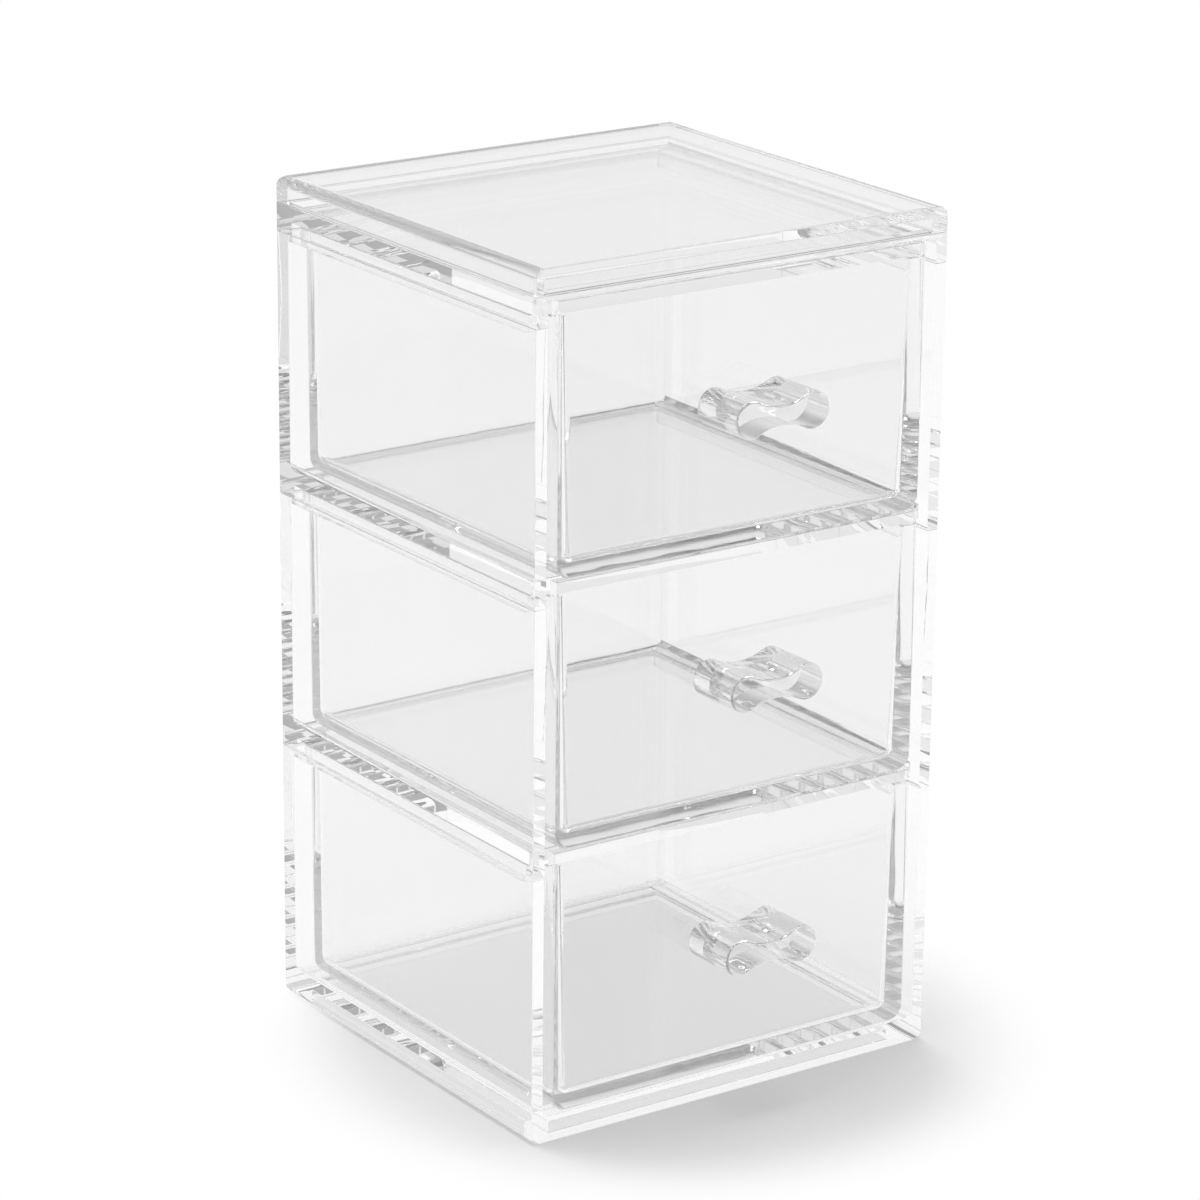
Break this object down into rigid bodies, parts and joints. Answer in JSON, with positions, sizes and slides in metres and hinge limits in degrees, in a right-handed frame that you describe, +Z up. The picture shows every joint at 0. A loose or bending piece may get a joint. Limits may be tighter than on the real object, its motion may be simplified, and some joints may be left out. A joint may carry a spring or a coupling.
{
  "type": "cosmetics organizer drawer tower",
  "caption": "Clear rigid plastic tower of stacked open-front housings with a flat lid and sliding drawers, each with a dog-bone pull, for cosmetics and small goods.",
  "frame": {"origin": "centre of the housing footprint, on the surface the tower stands on", "axes": "+Z up, +X to the right of someone facing the drawers, drawers open toward -Y"},
  "size_m": [0.12, 0.1303, 0.218],
  "materials": {
    "housing": "clear, gloss",
    "lid": "clear, gloss",
    "drawer": "clear, gloss",
    "pull": "clear, gloss"
  },
  "bodies": {
    "case": {"lower_housing": "housing", "middle_housing": "housing", "upper_housing": "housing", "top_frame": "housing", "lid": "lid"},
    "lower_drawer_unit": {"lower_drawer": "drawer", "lower_pull": "pull"},
    "middle_drawer_unit": {"middle_drawer": "drawer", "middle_pull": "pull"},
    "upper_drawer_unit": {"upper_drawer": "drawer", "upper_pull": "pull"}
  },
  "joints": [
    {"name": "lower_slide", "type": "slide", "parent": "case", "child": "lower_drawer_unit", "axis": [0, -1, 0], "range_m": [0, 0.085]},
    {"name": "middle_slide", "type": "slide", "parent": "case", "child": "middle_drawer_unit", "axis": [0, -1, 0], "range_m": [0, 0.085]},
    {"name": "upper_slide", "type": "slide", "parent": "case", "child": "upper_drawer_unit", "axis": [0, -1, 0], "range_m": [0, 0.085]}
  ]
}
